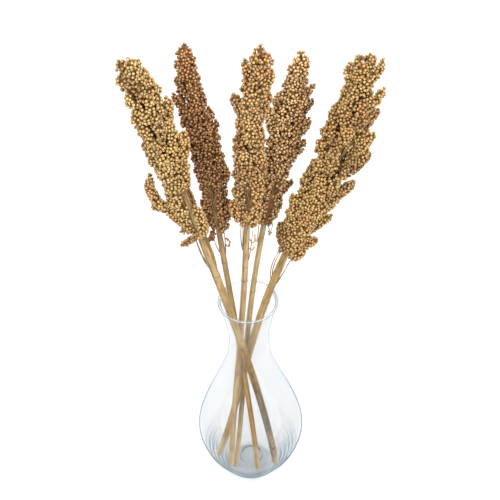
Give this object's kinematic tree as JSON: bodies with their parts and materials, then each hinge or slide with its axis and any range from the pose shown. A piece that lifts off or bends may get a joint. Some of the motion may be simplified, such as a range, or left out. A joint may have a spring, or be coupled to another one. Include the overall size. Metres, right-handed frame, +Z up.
{
  "type": "sorghum seed heads in a glass vase",
  "caption": "Dried sorghum seed heads on straw stems, standing crossed in a clear teardrop glass vase.",
  "frame": {"origin": "centre of the vase's flat underside", "axes": "+Z up along the vase's axis, +X to the right and -Y towards the viewer of the picture"},
  "size_m": [0.2708, 0.1328, 0.679],
  "materials": {
    "glass": "clear polished",
    "straw_1": "dry, faintly glossy straw with dark flecks",
    "straw": "dry, faintly glossy straw",
    "grain_1": "dry olive-gold grain",
    "grain_2": "dry red-brown grain",
    "grain_3": "dry golden grain",
    "grain_4": "dry golden grain with red-brown patches",
    "grain_5": "dry olive-gold grain"
  },
  "bodies": {
    "root": {"vase": "glass", "stem_1": "straw_1", "stem_2": "straw", "stem_3": "straw", "stem_4": "straw", "stem_5": "straw", "head_1": "grain_1", "head_2": "grain_2", "head_3": "grain_3", "head_4": "grain_4", "head_5": "grain_5"}
  },
  "joints": []
}
